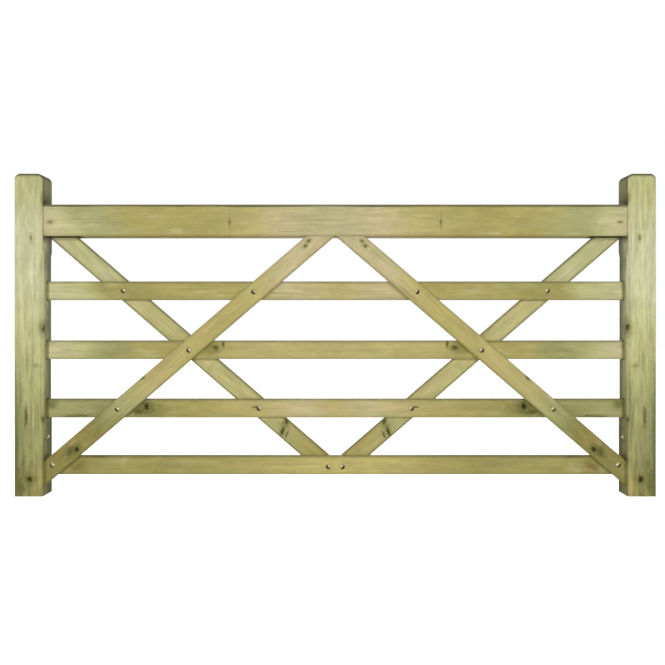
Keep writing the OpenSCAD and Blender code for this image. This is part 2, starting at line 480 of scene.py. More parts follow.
class Board:
    """A timber's surface as its finish sees it, with the colour laid so far."""

    def __init__(self, graph: Shader, timber: "Timber") -> None:
        """Measures the surface, draws its grain and lays its ground colour.

        Args:
            graph: The material's tree.
            timber: The timber.
        """
        self.graph = graph
        self.timber = timber
        self.finish = timber.look.finish
        x, y, z = graph.split(graph.node("ShaderNodeTexCoord", None, None, "Object"))
        self.out = abs(x - timber.gate.middle)
        self.height = z + timber.gate.foot
        folded = graph.join(self.out, y, self.height)
        values = {"Vector": folded, "Location": timber.centre, "Rotation": (0.0, timber.slant, 0.0)}
        inside = graph.node("ShaderNodeMapping", {"vector_type": "TEXTURE"}, values)
        self.along, self.deep, self.across = graph.split(inside)
        self.own = (x - timber.gate.middle if timber.spans else self.along) + timber.seed * SEED_STEP
        self.normal = graph.node("ShaderNodeNewGeometry", None, None, "Normal")
        self.facing = graph.split(self.normal)
        self.fibre = self.noise(7.0, 420.0, rough=0.65)
        self.streak = self.noise(4.0, 95.0, 4.0)
        self.mottle = self.noise(16.0, 48.0, 4.0, 0.65)
        self.ragged = self.noise(75.0, 110.0)
        self.ripple = (self.mottle - 0.5) * 20.0 * MM
        self.rings = self._grow()
        self.colour = self._ground()

    def _ground(self) -> Signal:
        """Draws the ground colour, which drifts along the timber in soft patches.

        Returns:
            The colour.
        """
        gate = self.timber.gate
        share = self.height * (1 / gate.height) if self.timber.upright else self.out * (2 / gate.width)
        place = share + (self.noise(2.6, 14.0, rough=0.55) - 0.5) * 0.16
        stops = [(at, tone.value) for at, tone in self.timber.look.tones]
        return self.graph.node("ShaderNodeValToRGB", {"stops": stops}, {"Fac": place})

    def noise(
        self, along: float, across: float, detail: float = 3.0, rough: float = 0.6, shift: float = 0.0
    ) -> Signal:
        """Draws noise that is stretched along the grain and differs from timber to timber.

        Args:
            along: Features to the metre along the grain.
            across: Features to the metre across it.
            detail: Octaves after the first.
            rough: Share that each octave keeps of the last one's strength.
            shift: What sets it apart from another noise on the same timber.

        Returns:
            The noise, about 0.5 on average.
        """
        at = self.graph.join(self.own * along + shift, self.deep * across, self.across * across)
        return self.graph.noise(at, 1.0, detail, rough)

    def span(self, mark: Knot | Stain) -> Signal:
        """Measures how far the surface is from a mark.

        Args:
            mark: The knot or stain.

        Returns:
            0 in the mark's middle and 1 on its outline.
        """
        along, across = self.timber.local(mark.out, mark.up)
        run, rise = self.along - along, self.across - across
        if mark.turn:
            c, s = math.cos(math.radians(mark.turn)), math.sin(math.radians(mark.turn))
            run, rise = run * c + rise * s, rise * c - run * s
        parts = [run * (1 / mark.length), rise * (1 / mark.width)]
        if mark.depth:
            parts.append((self.deep + self.timber.thickness / 2) * (1 / mark.depth))
        return self.graph.length(*parts)

    def outline(self, mark: Knot | Stain, streaky: float, ragged: float) -> Signal:
        """Returns the span of a mark whose outline the streaks and shorter noise disturb."""
        return self.span(mark) + (self.streak - 0.5) * streaky + (self.ragged - 0.5) * ragged

    def fade(self, distance: Signal, far: float, near: float) -> Signal:
        """Steps smoothly from 0, at a far distance in millimetres, to 1, at a near one."""
        return self.graph.ease(distance, far * MM, near * MM)

    def lay(self, share: Signal, tone: Tone) -> None:
        """Lays a share of a tone over the colour."""
        self.colour = self.graph.mix(share, self.colour, tone.value)

    def surface(self) -> Signal:
        """Lays all colours over the ground and makes the surface of it.

        Returns:
            The shader.
        """
        self._grained()
        for stain in self.timber.look.stains:
            inside = self.graph.ease(self.outline(stain, 1.0, 1.2), 1.25, 0.2)
            self.lay(inside * stain.strength, stain.tone)
        if self.timber.upright:
            self._overgrown()
        heart = self._knotted()
        self._edge_and_top_shade()
        if self.timber.upright:
            self._inner_side_shade()
            self._head_shade()
        else:
            self._joint_shadow()
        # Painted shade in the drying checks and, more lightly, on the chipped arrises.
        worn = self.graph.node("ShaderNodeAttribute", {"attribute_name": "worn"}, None, "Fac")
        self.lay(worn * self.finish.worn_shade, Tone.LOAM)
        self._end_grain()

        fibre, late = self.fibre - 0.5, self.rings - self.finish.ring_level
        height = self.rings * 0.35 + self.fibre * 0.8 + self.mottle * 0.3 + heart * -0.8
        bump = {"Strength": 0.30, "Distance": self.finish.relief, "Height": height}
        values = {
            "Base Color": self.colour,
            "Roughness": self.finish.roughness + fibre * 0.25 + late * -0.08 + heart * -0.15,
            "Normal": self.graph.node("ShaderNodeBump", None, bump),
            "Specular IOR Level": 0.12,
        }
        return self.graph.node("ShaderNodeBsdfPrincipled", None, values)

    def _grow(self) -> Signal:
        """Draws the growth rings about the heart of the tree, pushed aside by the knots.

        Returns:
            0 in the pale early wood and 1 in the dark late wood.
        """
        graph, timber = self.graph, self.timber
        push: Signal | float = 0.0
        for knot in timber.look.knots:
            span = self.span(knot) * 0.42
            push = graph.math("EXPONENT", span * span * -1.0) * (self.finish.knot_push * knot.width) + push
        drift, sway = (
            graph.noise(graph.join(self.own * 1.1, timber.seed * pace, start), 1.0, 1.0)
            for pace, start in ((2.3, 0.0), (4.1, 5.0))
        )
        rise = self.across - timber.heart[0] + (drift - 0.5) * self.finish.heart_drift
        back = self.deep - timber.heart[1] + (sway - 0.5) * self.finish.heart_sway
        wobble = self.noise(3.0, 30.0, 2.0, 0.5)
        radius = graph.length(rise, back) + push + (wobble - 0.5) * self.finish.ring_wobble
        pace = graph.math("FRACT", radius * (1 / self.finish.ring_gap))
        late = graph.ease(pace, 0.30, 0.86) - graph.ease(pace, 0.90, 1.0)
        return late * graph.ease(self.noise(4.0, 60.0, 2.0, 0.5), 0.25, 0.65)

    def _grained(self) -> None:
        """Clouds the ground colour and draws the grain into it."""
        graph = self.graph
        bloom = self.noise(6.0, 26.0, shift=31.0)
        self.lay(graph.ease(bloom, 0.50, 0.72) * self.finish.bloom, Tone.SAGE)
        self.lay(graph.ease(bloom, 0.44, 0.26) * self.finish.bloom, Tone.BUFF)
        shade = (
            1.0
            - (self.rings - self.finish.ring_level) * self.finish.ring_contrast
            - (self.fibre - 0.5) * self.finish.fibre_contrast
            - (self.streak - 0.5) * self.finish.streak_contrast
            - (self.mottle - 0.5) * self.finish.mottle_contrast
        )
        self.colour = graph.mix(1.0, self.colour, graph.join(shade, shade, shade), "MULTIPLY")
        self.lay(graph.ease(self.rings, 0.3, 1.0) * self.finish.late_wood, Tone.OLIVE)

    def _overgrown(self) -> None:
        """Greens a stile in blots near its foot and in streaks above them, and paints shade along its outer
        arris near the foot.
        """
        graph, height = self.graph, self.height
        inset = self.timber.gate.width / 2 - self.out
        blots = graph.ease(self.noise(26.0, 55.0, 4.0), 0.47, 0.62) * graph.ease(height, 0.26, 0.02)
        self.lay(blots * (self.fade(inset, 100.0, 30.0) * 0.7 + 0.3) * self.finish.algae, Tone.ALGAE)
        streaks = graph.ease(self.streak, 0.50, 0.66) * graph.ease(height, 0.80, 0.20)
        self.lay(streaks * (0.6 * self.finish.algae), Tone.ALGAE)
        # Painted shade along the outer arris, on the front and back faces.
        edge = self.fade(inset - (self.streak - 0.5) * 8.0 * MM, 19.0, 6.0) * graph.ease(height, 0.50, 0.15)
        facing = graph.ease(abs(self.facing[1]), 0.3, 0.8)
        self.lay(edge * facing * self.finish.foot_arris_shade, Tone.ALGAE)

    def _knotted(self) -> Signal | float:
        """Lays the knots, each with a soft ring about it.

        Returns:
            1 in the knots and 0 outside them.
        """
        graph = self.graph
        heart: Signal | float = 0.0
        for knot in self.timber.look.knots:
            span = self.outline(knot, 1.4, 1.5)
            self.lay(graph.ease(span, 2.8, 0.8) * (0.75 * knot.strength), Tone.FERN)
            wood = graph.mix(graph.ease(span, 0.85, 0.35), Tone.LOAM.value, Tone.BARK.value)
            body = graph.ease(span, 1.15, 0.55) * knot.strength
            self.colour = graph.mix(body, self.colour, wood)
            heart = body + heart
        return heart

    def _edge_and_top_shade(self) -> None:
        """Paints shade on the arrises, along the upper and lower edges of rails and braces, and on what faces
        up; the upper edges also carry dirt.
        """
        graph, timber, uneven = self.graph, self.timber, self.streak - 0.5
        side = timber.width / 2 - abs(self.across)
        face = timber.thickness / 2 - abs(self.deep)
        # Painted shade: a dark band along every arris.
        painted_arris_shade = graph.ease(side + face + uneven * 2.0 * MM, self.finish.arris_band, 0.8 * MM)
        self.lay(painted_arris_shade * self.finish.arris_shade, Tone.FERN)
        rise = self.facing[2]
        if not timber.upright:
            # Painted shade with dirt along the upper edge of a rail or brace, and painted shade along its
            # lower edge.
            standing = graph.ease(abs(rise), 0.9, 0.5)
            edge = uneven * 14.0 * MM + timber.width / 2
            shaded_top_edge = self.fade(edge - self.across, 13.0, 2.0) * standing
            self.lay(shaded_top_edge * self.finish.top_edge_shade_and_dirt, Tone.WEATHER_AND_SHADE)
            shaded_lower_edge = self.fade(edge + self.across, 12.0, 3.0) * standing
            self.lay(shaded_lower_edge * self.finish.lower_edge_shade, Tone.FERN)
        # Painted shade on what faces upwards.
        self.lay(graph.ease(rise + uneven * 0.9, 0.15, 0.95) * self.finish.upward_shade, Tone.WEATHER_AND_SHADE)

    def _inner_side_shade(self) -> None:
        """Paints shade on a stile's inner side: darker towards its back, and about the top rail."""
        graph, timber, deep = self.graph, self.timber, self.deep
        inner = graph.ease(self.facing[0] * -timber.sides[0], 0.55, 0.9)
        rail, size = timber.gate.folded_centre("top_rail")
        rise = self.along - (rail.z - timber.centre[2])
        past = abs(rise) - size.z / 2
        head = graph.ease(rise, size.z * 0.4, size.z * 0.6)

        # Painted shade: the inner side darker towards its back.
        back = self.fade(deep + self.ripple, -27.0, 30.0)
        self.lay(inner * (back + head * (0.62 - back)) * self.finish.side_shade, Tone.WEATHER_AND_SHADE)
        # Painted shade in the corners where the top rail meets the stile.
        front = self.fade(deep + self.ripple * 0.5, 25.0, -25.0) * 0.6 + 0.4
        corner = self.fade(past + self.ripple * 0.6, 34.0, 2.0) * (self.fade(past, -14.0, -2.0) * 0.8 + 0.2)
        self.lay(inner * corner * front * self.finish.joint_shade, Tone.LOAM)
        # Painted shade, darkest, in the corner above the top rail and along the front arris there.
        head_corner = self.fade(past + self.ripple * 0.3, 20.0, 4.0) * self.fade(deep + self.ripple * 0.3, 5.0, -20.0)
        self.lay(inner * head * head_corner * self.finish.damp, Tone.BARK)
        arris = self.fade(deep + self.ripple * 0.2, -18.0, -32.0)
        self.lay(inner * head * arris * self.finish.head_arris_shade, Tone.LOAM)

    def _head_shade(self) -> None:
        """Paints shade on a stile's head, and most of all along the outline of its rounded shoulders."""
        graph, timber = self.graph, self.timber
        head = timber.gate.height / 2
        end = self.fade(head - self.along + self.ripple * 0.3, 15.0, 3.0)
        self.lay(end * self.finish.end_shade, Tone.WEATHER_AND_SHADE)
        top = graph.math("MAXIMUM", self.along - (head - self.finish.shoulder), 0.0)
        side = graph.math("MAXIMUM", abs(self.across) - (timber.width / 2 - self.finish.shoulder), 0.0)
        inset = self.finish.shoulder - graph.length(top, side) + self.ripple * 0.12
        outline = self.fade(inset, 8.5, 2.5) * self.fade(top, 0.0, 8.0)
        self.lay(outline * self.finish.head_outline, Tone.WEATHER_AND_SHADE)

    def _joint_shadow(self) -> None:
        """Paints shadow on a rail or brace at the stiles: under the top rail near each stile, and on the
        others in a strip beside each stile.
        """
        graph, gate = self.graph, self.timber.gate
        gap = gate.width / 2 - gate.stile_width - self.out
        if self.timber.name == "top_rail":
            self.lay(self.fade(gap, 148.0, 128.0) * graph.ease(self.facing[2], -0.7, -0.9), Tone.BARK)
        else:
            near = self.fade(gap - self.ripple * 0.2, 13.0, 8.0)
            self.lay(near * self.finish.joint_shade, Tone.LOAM)

    def _end_grain(self) -> None:
        """Darkens the cut ends, where the wood drinks more of the treatment."""
        graph = self.graph
        facing = graph.vector("DOT_PRODUCT", self.normal, self.timber.axis, output="Value")
        cut = graph.mix(self.rings * 0.6 + self.fibre * 0.3, Tone.FERN.value, Tone.BARK.value)
        self.colour = graph.mix(graph.ease(abs(facing), 0.5, 0.9) * self.finish.cut_shade, self.colour, cut)


@dataclass(frozen=True)
class TimberFinish:
    """Planed, pressure-treated softwood."""

    ring_gap: float = 3.4 * MM
    ring_contrast: float = 0.09
    ring_level: float = 0.35
    ring_wobble: float = 4.0 * MM
    heart_drift: float = 45.0 * MM
    heart_sway: float = 30.0 * MM
    knot_push: float = 1.7
    fibre_contrast: float = 0.26
    streak_contrast: float = 0.42
    mottle_contrast: float = 0.60
    bloom: float = 0.50
    late_wood: float = 0.20
    arris_shade: float = 0.60
    arris_band: float = 4.5 * MM
    upward_shade: float = 0.45
    side_shade: float = 0.0
    joint_shade: float = 0.60
    end_shade: float = 0.75
    shoulder: float = 22.0 * MM
    head_outline: float = 0.90
    algae: float = 0.0
    foot_arris_shade: float = 0.75
    top_edge_shade_and_dirt: float = 0.40
    lower_edge_shade: float = 0.25
    damp: float = 0.85
    head_arris_shade: float = 0.45
    cut_shade: float = 0.70
    worn_shade: float = 0.50
    roughness: float = 0.80
    relief: float = 0.45 * MM

    @staticmethod
    def material(timber: "Timber") -> bpy.types.Material:
        """Builds the finish for one timber, which gives its direction, size and look."""
        graph = Shader(bpy.data.materials.new(timber.name + "_softwood"))
        return graph.finish(Board(graph, timber).surface())


@dataclass(frozen=True)
class ZincFinish:
    """Zinc plate that has gone dull on the bolts, washers and nuts, with painted shade on one side of each
    fixing and round its rim.
    """

    middle: float
    name: str = "zinc_plate"
    bright: Triple = tint(180, 171, 136)
    dull: Triple = tint(150, 143, 108)
    painted_shade: Triple = tint(52, 45, 10)
    painted_shade_strength: float = 0.92
    roughness: float = 0.55

    def material(self) -> bpy.types.Material:
        """Builds the finish.

        Returns:
            The material, which reads the spot attribute: a place on a fixing from its seat.
        """
        graph = Shader(bpy.data.materials.new(self.name))
        place = graph.node("ShaderNodeTexCoord", None, None, "Object")
        cloud = graph.noise(place, 160.0)
        speck = graph.noise(place, 900.0, 3.0, 0.6)
        colour = graph.mix(graph.ease(cloud, 0.40, 0.65), self.bright, self.dull)
        colour = graph.mix(graph.ease(speck, 0.55, 0.75) * 0.5, colour, self.dull)

        # Painted shade: a dark crescent on one side of each fixing, mirrored between the gate's halves, and a
        # darker rim, which also dull the metal there.
        spot = graph.node("ShaderNodeAttribute", {"attribute_name": "spot"}, None, "Vector")
        across, down, _ = graph.split(spot)
        side = graph.math("SIGN", graph.split(place)[0] - self.middle)
        lean = across * side * 0.75 + down * 0.65 + (cloud - 0.5) * 5.0 * MM
        rim = graph.ease(graph.length(across, down), 7.5 * MM, 9.8 * MM)
        shaded = graph.math("MAXIMUM", graph.ease(lean, -3.0 * MM, 2.0 * MM), rim * 0.45)
        bump = {"Strength": 0.25, "Distance": 0.1 * MM, "Height": speck}
        surface = {
            "Base Color": graph.mix(shaded * self.painted_shade_strength, colour, self.painted_shade),
            "Roughness": self.roughness + (speck - 0.5) * 0.3 + shaded * 0.25,
            "Metallic": 0.85 - shaded * 0.6,
            "Normal": graph.node("ShaderNodeBump", None, bump),
            "Specular IOR Level": 0.15,
        }
        return graph.finish(graph.node("ShaderNodeBsdfPrincipled", None, surface))


# ------------------------------------------------------------------------- timbers


@dataclass(frozen=True)
class Look:
    """How a timber looks: its finish, its slot, its marks, and its tones.

    A tone has its place along a rail or brace, from the gate's middle at 0 to its end at
    1, or up a stile.
    """

    finish: TimberFinish
    slot: str
    tones: tuple[tuple[float, Tone], ...]
    knots: tuple[Knot, ...] = ()
    stains: tuple[Stain, ...] = ()


@dataclass(frozen=True)
class GateSize:
    """The gate's own sizes, read from the frame."""

    middle: float
    width: float
    height: float
    foot: float
    stile_width: float

    @classmethod
    def of_frame(cls) -> "GateSize":
        """Reads the sizes from the two stiles.

        Returns:
            The sizes.
        """
        low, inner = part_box("hanging_stile")
        _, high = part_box("closing_stile")
        return cls((low.x + high.x) / 2, high.x - low.x, high.z - low.z, -low.z, inner.x - low.x)

    def folded_centre(self, node: str) -> tuple[Vector, Vector]:
        """Finds a node's middle, with both halves of the gate laid on each other.

        Args:
            node: The CAD node.

        Returns:
            Its middle, as distance from the gate's middle, depth and height above the
            foot, and its size.
        """
        low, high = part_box(node)
        centre = (low + high) / 2
        return Vector((abs(centre.x - self.middle), centre.y, centre.z + self.foot)), high - low


@dataclass
class Timber:
    """One piece of wood, with the direction of its grain."""

    name: str
    gate: GateSize
    look: Look
    centre: Triple
    slant: float
    width: float
    thickness: float
    seed: float
    heart: tuple[float, float] = (15.0 * MM, 75.0 * MM)
    upright: bool = False

    @property
    def spans(self) -> bool:
        """Whether the timber runs across the gate's middle."""
        return self.name.endswith("_rail")

    @property
    def sides(self) -> tuple[float, ...]:
        """Which halves of the gate the timber is in: -1 for the hanging one, 1 for the closing one."""
        if self.spans:
            return (-1.0, 1.0)
        return (-1.0,) if self.name.endswith("_left") or self.name.startswith("hanging") else (1.0,)

    @property
    def axis(self) -> Triple:
        """The grain's direction in the part's frame. Its sign doesn't matter."""
        mirrored = -1.0 if self.name.endswith("_left") else 1.0
        return (mirrored * math.cos(self.slant), 0.0, -math.sin(self.slant))

    def local(self, out: float, up: float) -> tuple[float, float]:
        """Takes a place on the gate to this timber.

        Args:
            out: Distance from the gate's middle.
            up: Height above the foot.

        Returns:
            Distances along and across the timber from its centre.
        """
        run, rise = out - self.centre[0], up - self.centre[2]
        c, s = math.cos(self.slant), math.sin(self.slant)
        return run * c - rise * s, run * s + rise * c

    def _blank(self) -> bpy.types.Mesh:
        """Copies the frame's timber as one skin, with a loose point at each knot that shows.

        Returns:
            The mesh. A loose point's dish attribute is its knot's reach along the grain,
            thickness and reach across the grain.
        """
        skin = bmesh.new()
        skin.from_mesh(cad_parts[self.name].data)
        bmesh.ops.remove_doubles(skin, verts=skin.verts, dist=WELD)
        dish = skin.verts.layers.float_vector.new("dish")
        for knot in self.look.knots:
            along, across = (knot.width, knot.length) if knot.turn > 45.0 else (knot.length, knot.width)
            faces = (-1.0,) if knot.depth else (-1.0, 1.0)
            for side, face in ((side, face) for side in self.sides for face in faces):
                x, z = self.gate.middle + side * knot.out, knot.up - self.gate.foot
                y = self.centre[1] + face * self.thickness / 2
                skin.verts.new((x, y, z))[dish] = (along, 1.0, across)
        mesh = bpy.data.meshes.new(self.name + "_blank")
        skin.to_mesh(mesh)
        skin.free()
        if "custom_normal" in mesh.attributes:
            mesh.attributes.remove(mesh.attributes["custom_normal"])
        return mesh

    def build(self, wear: "Wear") -> None:
        """Makes the worn timber in its finish and stands it for its CAD node.

        Args:
            wear: What time has done to the wood.
        """
        sizes = {"Grain": self.axis, "Seed": int(self.seed * 10), "Finish": self.look.finish.material(self)}
        piece = wear.tree.run(self.name + "_timber", self._blank(), **sizes)
        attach(piece, "root")
        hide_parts(self.name)
        log.info("%s: %d faces, %d knots", piece.name, len(piece.data.polygons), len(self.look.knots))


@dataclass
class Wear:
    """Drying checks, chipped arrises and dished knots, cut into every timber by one tree."""

    check_length: float = 150.0 * MM
    check_width: float = 0.7 * MM
    check_depth: float = 5.0 * MM
    checks: float = 22.0
    chip_length: float = 13.0 * MM
    chip_depth: float = 1.0 * MM
    chips: float = 700.0
    dish_depth: float = 0.6 * MM
    face_limit: float = 0.98
    end_limit: float = 0.3

    def __post_init__(self) -> None:
        """Builds the tree that every timber shares."""
        tree = self.tree = Shape("wear")
        grain = tree.size("Grain", (1.0, 0.0, 0.0), "Vector")
        seed = tree.size("Seed", 0, "Int")
        dished = tree.vector("LENGTH", tree.field("dish", "FLOAT_VECTOR"), output="Value")
        values = {"Geometry": tree.given, "Selection": tree.math("GREATER_THAN", dished, 0.0)}
        parts = tree.node("GeometryNodeSeparateGeometry", {"domain": "POINT"}, values)
        points, wood = tree.outputs(parts)
        wood = tree.node("GeometryNodeSetShadeSmooth", None, {"Geometry": wood, "Shade Smooth": False})

        normal, through = tree.node("GeometryNodeInputNormal"), (0.0, 1.0, 0.0)
        ways = (grain, through, tree.vector("CROSS_PRODUCT", grain, through))
        ends, faces, edges = (abs(tree.vector("DOT_PRODUCT", normal, way, output="Value")) for way in ways)
        flat = tree.math("MAXIMUM", faces, edges)
        on_flat = tree.math("GREATER_THAN", flat, self.face_limit)
        on_arris = tree.math("LESS_THAN", flat, self.face_limit) * tree.math("LESS_THAN", ends, self.end_limit)
        few, many = tree.sizes(self, "checks", "chips")
        checks = self._scattered(wood, on_flat, few, seed, grain, self._check())
        chips = self._scattered(wood, on_arris, many, seed + 1.0, grain, self._chip())
        tree.end(tree.cut("DIFFERENCE", wood, [checks, chips, self._dishes(points, grain)]))

    def _check(self) -> Signal:
        """Makes the blade that cuts one drying check.

        Returns:
            The blade, along X and cutting downwards.
        """
        tree = self.tree
        length, width, depth = tree.sizes(self, "check_length", "check_width", "check_depth")
        rod = tree.rod(4, rows=10)
        x, y, z = tree.place()
        taper = tree.math("MAXIMUM", tree.math("SINE", (z + 0.5) * math.pi), 0.05)
        bend = (tree.math("SINE", z * 9.0) * 0.9 + tree.math("SINE", z * 23.0) * 0.4) * MM
        place = tree.join(z * length, x * width * 0.5 * taper + bend, y * depth * taper)
        return self._worn(tree.move(rod, Position=place), 1.0)

    def _chip(self) -> Signal:
        """Makes the splinter that is missing from a chipped arris.

        Returns:
            The splinter, along X.
        """
        tree = self.tree
        length, depth = tree.sizes(self, "chip_length", "chip_depth")
        grit = tree.node("GeometryNodeMeshIcoSphere", None, {"Radius": 1.0, "Subdivisions": 1})
        x, y, z = tree.place()
        place = tree.join(x * length * 0.5, y * depth * 1.6, z * depth)
        return self._worn(tree.move(grit, Position=place), 0.3)

    def _dishes(self, points: Signal, grain: Signal) -> Signal:
        """Makes the shallow dishes that the knots leave as they shrink.

        Args:
            points: Where the knots show.
            grain: The direction of the grain.

        Returns:
            A flattened ball at each point.
        """
        tree = self.tree
        depth = tree.size("Dish depth", self.dish_depth)
        ball = tree.node("GeometryNodeMeshIcoSphere", None, {"Radius": 1.15, "Subdivisions": 3})
        size = tree.vector("MULTIPLY", tree.field("dish", "FLOAT_VECTOR"), tree.join(1.0, depth, 1.0))
        return tree.copies(points, self._worn(ball, 0.0), tree.aim(grain, "X", "Y"), Scale=size)

    def _worn(self, cutter: Signal, strength: float) -> Signal:
        """Marks the faces that a cutter leaves, so that the finish can paint shade into them."""
        return self.tree.keep(cutter, "worn", strength, on="FACE")

    def _scattered(
        self, wood: Signal, where: Signal, density: Signal, seed: Signal, grain: Signal, cutter: Signal
    ) -> Signal:
        """Scatters a cutter over some of the faces.

        Args:
            wood: The timber.
            where: Which faces.
            density: Copies to the square metre.
            seed: What sets their places.
            grain: The direction that their X takes.
            cutter: The cutter.

        Returns:
            Copies of it, each stretched in its own way.
        """
        tree = self.tree
        values = {"Mesh": wood, "Selection": where, "Density": density, "Seed": seed}
        points, normal, _ = tree.outputs(tree.node("GeometryNodeDistributePointsOnFaces", None, values))
        turn = tree.aim(grain, "X", "Z", Rotation=tree.aim(normal))
        values = {0: (0.35, 0.6, 0.5), 1: (1.6, 1.3, 1.4), "Seed": seed}
        stretch = tree.node("FunctionNodeRandomValue", {"data_type": "FLOAT_VECTOR"}, values)
        return tree.copies(points, cutter, turn, Scale=stretch)


@dataclass
class Stiles:
    """The two uprights, which carry everything else."""

    gate: GateSize
    wear: Wear
    names: tuple[str, str] = ("hanging_stile", "closing_stile")
    first_seed: float = 11.0
    heart: tuple[float, float] = (10.0 * MM, 30.0 * MM)
    look: Look = Look(
        TimberFinish(
            ring_gap=4.2 * MM, streak_contrast=0.65, mottle_contrast=0.70, arris_shade=0.40, side_shade=0.85,
            joint_shade=0.85, end_shade=0.85, algae=0.65,
        ),
        "stile_timber",
        (
            (0.0, Tone.LICHEN), (0.06, Tone.LICHEN), (0.17, Tone.MOSS), (0.30, Tone.SAGE),
            (0.44, Tone.REED), (0.56, Tone.WILLOW), (0.66, Tone.CHALK), (0.80, Tone.CHALK),
            (0.90, Tone.WILLOW), (0.97, Tone.REED),
        ),
        (
            Knot(1.138, 0.968, 0.010, 0.004, 0.55),
            Knot(1.0915, 0.631, 0.019, 0.009, 0.88, 0.022),
            Knot(1.143, 0.065, 0.015, 0.012, 1.0),
            Knot(1.094, 0.288, 0.012, 0.006, 0.6, 0.016),
            Knot(1.121, 0.490, 0.006, 0.010, 0.3),
            Knot(1.088, 0.138, 0.012, 0.005, 0.7, 0.030),
        ),
        (
            Stain(1.185, 0.270, 0.26, 0.030, Tone.JADE, 0.60),
            Stain(1.196, 0.400, 0.16, 0.006, Tone.WEATHER_AND_SHADE, 0.5),
            Stain(1.192, 0.230, 0.13, 0.010, Tone.JADE, 0.7),
            Stain(1.156, 0.298, 0.052, 0.008, Tone.LOAM, 0.8),
            Stain(1.152, 0.500, 0.050, 0.008, Tone.LICHEN, 0.6),
            Stain(1.112, 0.270, 0.10, 0.007, Tone.FERN, 0.45),
            Stain(1.135, 0.150, 0.09, 0.012, Tone.MOSS, 0.7),
            Stain(1.186, 0.050, 0.080, 0.022, Tone.FERN, 0.75),
            Stain(1.112, 0.045, 0.085, 0.022, Tone.HONEY, 0.95),
            Stain(1.118, 0.180, 0.090, 0.013, Tone.SAGE, 0.8),
            Stain(1.127, 0.317, 0.045, 0.007, Tone.REED, 0.7),
            Stain(1.130, 0.066, 0.030, 0.004, Tone.BRONZE, 0.6, 80.0),
            Stain(1.165, 0.110, 0.05, 0.010, Tone.FERN, 0.6),
            Stain(1.186, 0.560, 0.12, 0.012, Tone.SAGE, 0.6),
            Stain(1.175, 1.120, 0.06, 0.016, Tone.SAGE, 0.5),
            Stain(1.096, 1.115, 0.030, 0.010, Tone.FERN, 0.7),
            Stain(1.091, 0.045, 0.050, 0.003, Tone.LOAM, 0.3),
            Stain(1.091, 0.885, 0.055, 0.004, Tone.WEATHER_AND_SHADE, 0.5),
            Stain(1.180, 0.040, 0.035, 0.013, Tone.ALGAE, 0.6),
            Stain(1.193, 0.096, 0.020, 0.006, Tone.ALGAE, 0.5),
            Stain(1.169, 0.123, 0.018, 0.005, Tone.ALGAE, 0.5),
        ),
    )

    def build(self) -> None:
        """Dresses both stiles."""
        for count, name in enumerate(self.names):
            centre, size = self.gate.folded_centre(name)
            Timber(
                name, self.gate, self.look, tuple(centre), -QUARTER_TURN, size.x, size.y,
                self.first_seed + count, self.heart, upright=True,
            ).build(self.wear)


RAIL_FINISH = TimberFinish(upward_shade=0.20)
BRACE_FINISH = TimberFinish(arris_shade=0.45, upward_shade=0.10, top_edge_shade_and_dirt=0.15, joint_shade=0.45)


